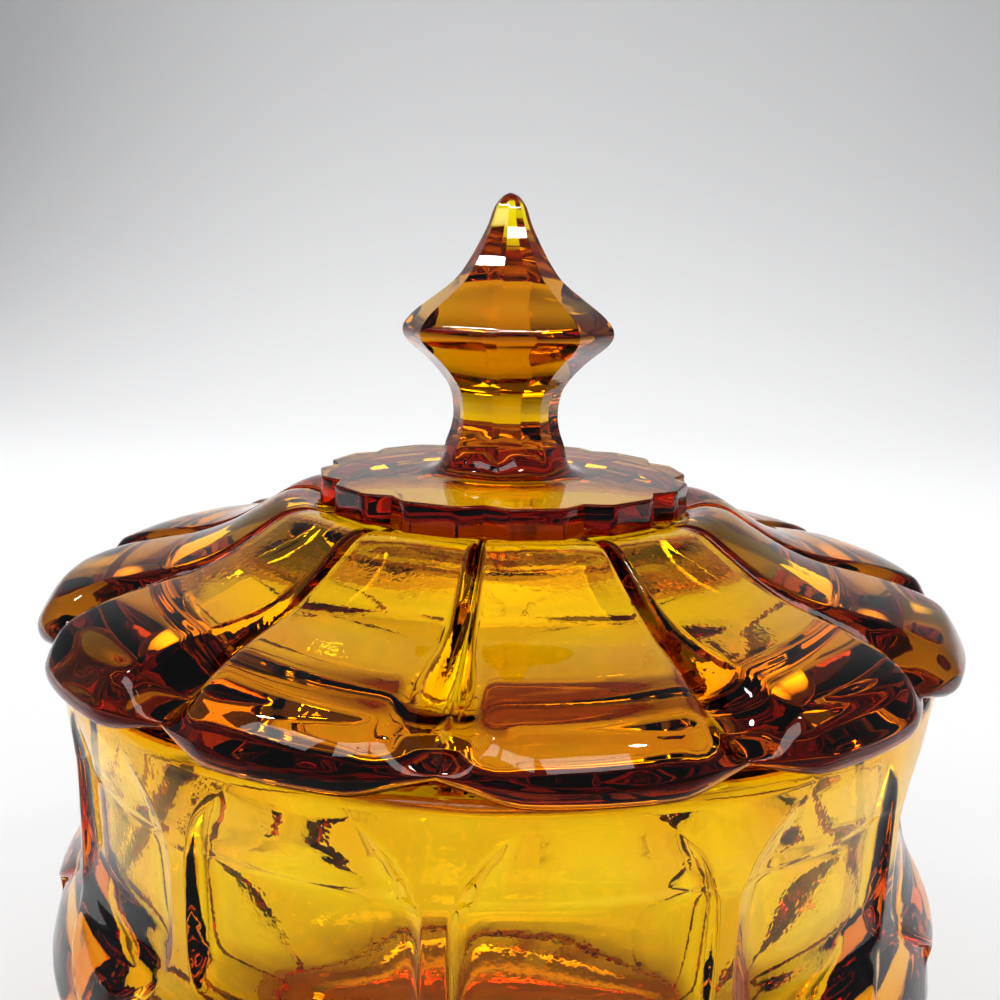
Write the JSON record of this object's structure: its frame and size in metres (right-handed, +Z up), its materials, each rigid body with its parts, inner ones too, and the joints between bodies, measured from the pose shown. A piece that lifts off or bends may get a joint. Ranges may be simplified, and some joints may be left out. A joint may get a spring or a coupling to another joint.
{
  "type": "apothecary jar",
  "caption": "Footed round jar of pressed amber glass with fluted panels, and a lobed lift-off lid with a collar disc and a pointed faceted knob.",
  "frame": {"origin": "centre of the foot's ring, on the surface the jar stands on", "axes": "+Z up along the jar's axis; -Y is the front, where a rib of the body and a valley of the lid face the viewer; +X to the right"},
  "size_m": [0.1666, 0.1666, 0.1855],
  "materials": {
    "jar_glass": "fire-polished clear amber, faintly rippled inside",
    "lid_glass": "fire-polished clear amber, darker where the glass is thick"
  },
  "bodies": {
    "jar": {"jar_body": "jar_glass"},
    "lid": {"lid": "lid_glass"}
  },
  "joints": [
    {"name": "lid_lift", "type": "slide", "parent": "jar", "child": "lid", "axis": [0, 0, 1], "range_m": [0, 0.1]}
  ]
}
